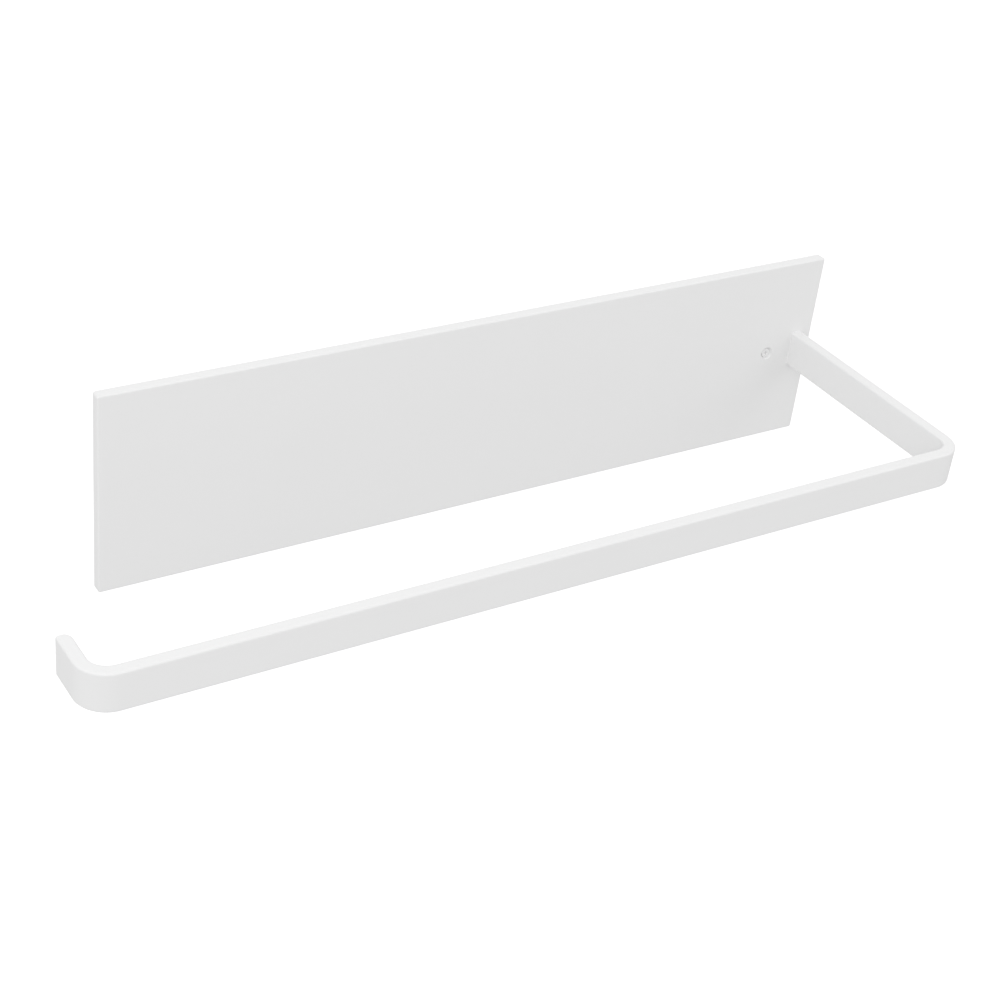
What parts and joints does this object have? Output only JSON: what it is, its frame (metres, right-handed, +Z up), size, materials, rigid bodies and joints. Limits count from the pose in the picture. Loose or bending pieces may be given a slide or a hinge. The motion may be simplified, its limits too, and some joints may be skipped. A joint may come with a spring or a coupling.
{
  "type": "paper towel holder",
  "caption": "Wall-held paper towel holder: a shallow white steel tray plate with a bent flat-bar arm that ends in a short hook, held on by magnets behind an anti-slip sheet.",
  "frame": {"origin": "centre of the anti-slip sheet's rear face, on the wall", "axes": "+X along the plate towards the end that the arm comes from, +Y into the wall, +Z up"},
  "size_m": [0.314, 0.0936, 0.07],
  "materials": {
    "powder_coat": "fine satin white powder coat",
    "screw_paint": "satin white",
    "foot_steel": "bright zinc plate",
    "magnet": "nickel plate",
    "carrier": "matt moulded",
    "anti_slip": "fine matt grain"
  },
  "bodies": {
    "root": {"face_plate": "powder_coat", "towel_arm": "powder_coat", "arm_foot_screw": "screw_paint", "arm_foot_plate": "foot_steel", "magnet_carrier": "carrier", "magnet_upper_1": "magnet", "magnet_upper_2": "magnet", "magnet_upper_3": "magnet", "magnet_upper_4": "magnet", "magnet_lower_1": "magnet", "magnet_lower_2": "magnet", "magnet_lower_3": "magnet", "magnet_lower_4": "magnet", "anti_slip_sheet": "anti_slip"}
  },
  "joints": []
}
